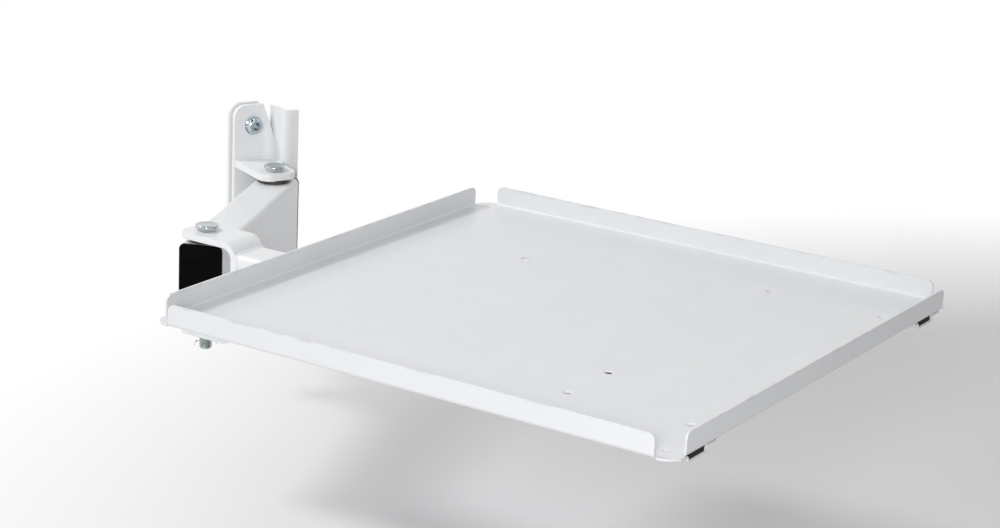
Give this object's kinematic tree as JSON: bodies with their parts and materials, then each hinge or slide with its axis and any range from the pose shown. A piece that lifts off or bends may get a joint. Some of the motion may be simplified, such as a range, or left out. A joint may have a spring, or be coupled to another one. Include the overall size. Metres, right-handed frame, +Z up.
{
  "type": "swing-arm tray",
  "caption": "Shallow square sheet-metal tray on a jointed swing arm, with a bracket that hooks and clamps onto a slotted upright.",
  "frame": {"origin": "front left corner edge of the slotted upright that the bracket clamps, at the mid-height of the arms", "axes": "+Z up along the upright and all pivots; +X and +Y along the tray's sides in the rest pose, +X from the elbow to the tray's swivel"},
  "size_m": [0.6899, 0.4651, 0.177],
  "materials": {
    "tray_coat": "near-white powder coat, soft gloss",
    "arm_coat": "near-white powder coat, soft gloss",
    "bracket_coat": "near-white powder coat, soft gloss",
    "zinc": "bright blue-passivated zinc plate",
    "sleeve_steel": "turned steel",
    "cap_plastic": "black moulded plastic",
    "bush_plastic": "black moulded plastic"
  },
  "bodies": {
    "bracket": {"post_bracket_front": "bracket_coat", "post_bracket_rear": "bracket_coat", "upper_clevis_plate": "bracket_coat", "lower_clevis_plate": "bracket_coat", "clamp_bolts": "zinc", "clamp_washers": "zinc", "clamp_nuts": "zinc", "bracket_pivot_bolt": "zinc", "bracket_pivot_sleeve": "sleeve_steel", "bracket_pivot_washer": "zinc", "bracket_pivot_nut": "zinc"},
    "arm_one": {"arm_1_tube": "arm_coat", "arm_1_rear_cap": "cap_plastic", "arm_1_front_cap": "cap_plastic", "arm_1_rear_upper_bush": "bush_plastic", "arm_1_rear_lower_bush": "bush_plastic", "arm_1_front_upper_bush": "bush_plastic", "arm_1_front_lower_bush": "bush_plastic"},
    "arm_two": {"elbow_bracket": "arm_coat", "elbow_bolt": "zinc", "elbow_sleeve": "sleeve_steel", "elbow_washer": "zinc", "elbow_nut": "zinc", "arm_2_tube": "arm_coat", "arm_2_end_cap": "cap_plastic", "swivel_housing": "arm_coat", "arm_2_upper_bush": "bush_plastic", "arm_2_lower_bush": "bush_plastic"},
    "tray": {"tray_pan": "tray_coat", "front_rail": "tray_coat", "rear_rail": "tray_coat", "swivel_plate": "tray_coat", "swivel_collar": "tray_coat", "swivel_stud": "sleeve_steel", "swivel_washer": "zinc", "swivel_nut": "zinc"}
  },
  "joints": [
    {"name": "bracket_swing", "type": "hinge", "parent": "bracket", "child": "arm_one", "pos_m": [0.00946, -0.02703, 0], "axis": [0, 0, 1], "range_deg": [-50, 110]},
    {"name": "elbow_swing", "type": "hinge", "parent": "arm_one", "child": "arm_two", "pos_m": [0.0782, -0.19803, 0], "axis": [0, 0, 1], "range_deg": [-150, 20]},
    {"name": "tray_swivel", "type": "hinge", "parent": "arm_two", "child": "tray", "pos_m": [0.4144, -0.19803, 0], "axis": [0, 0, 1], "range_deg": [-180, 180]}
  ]
}
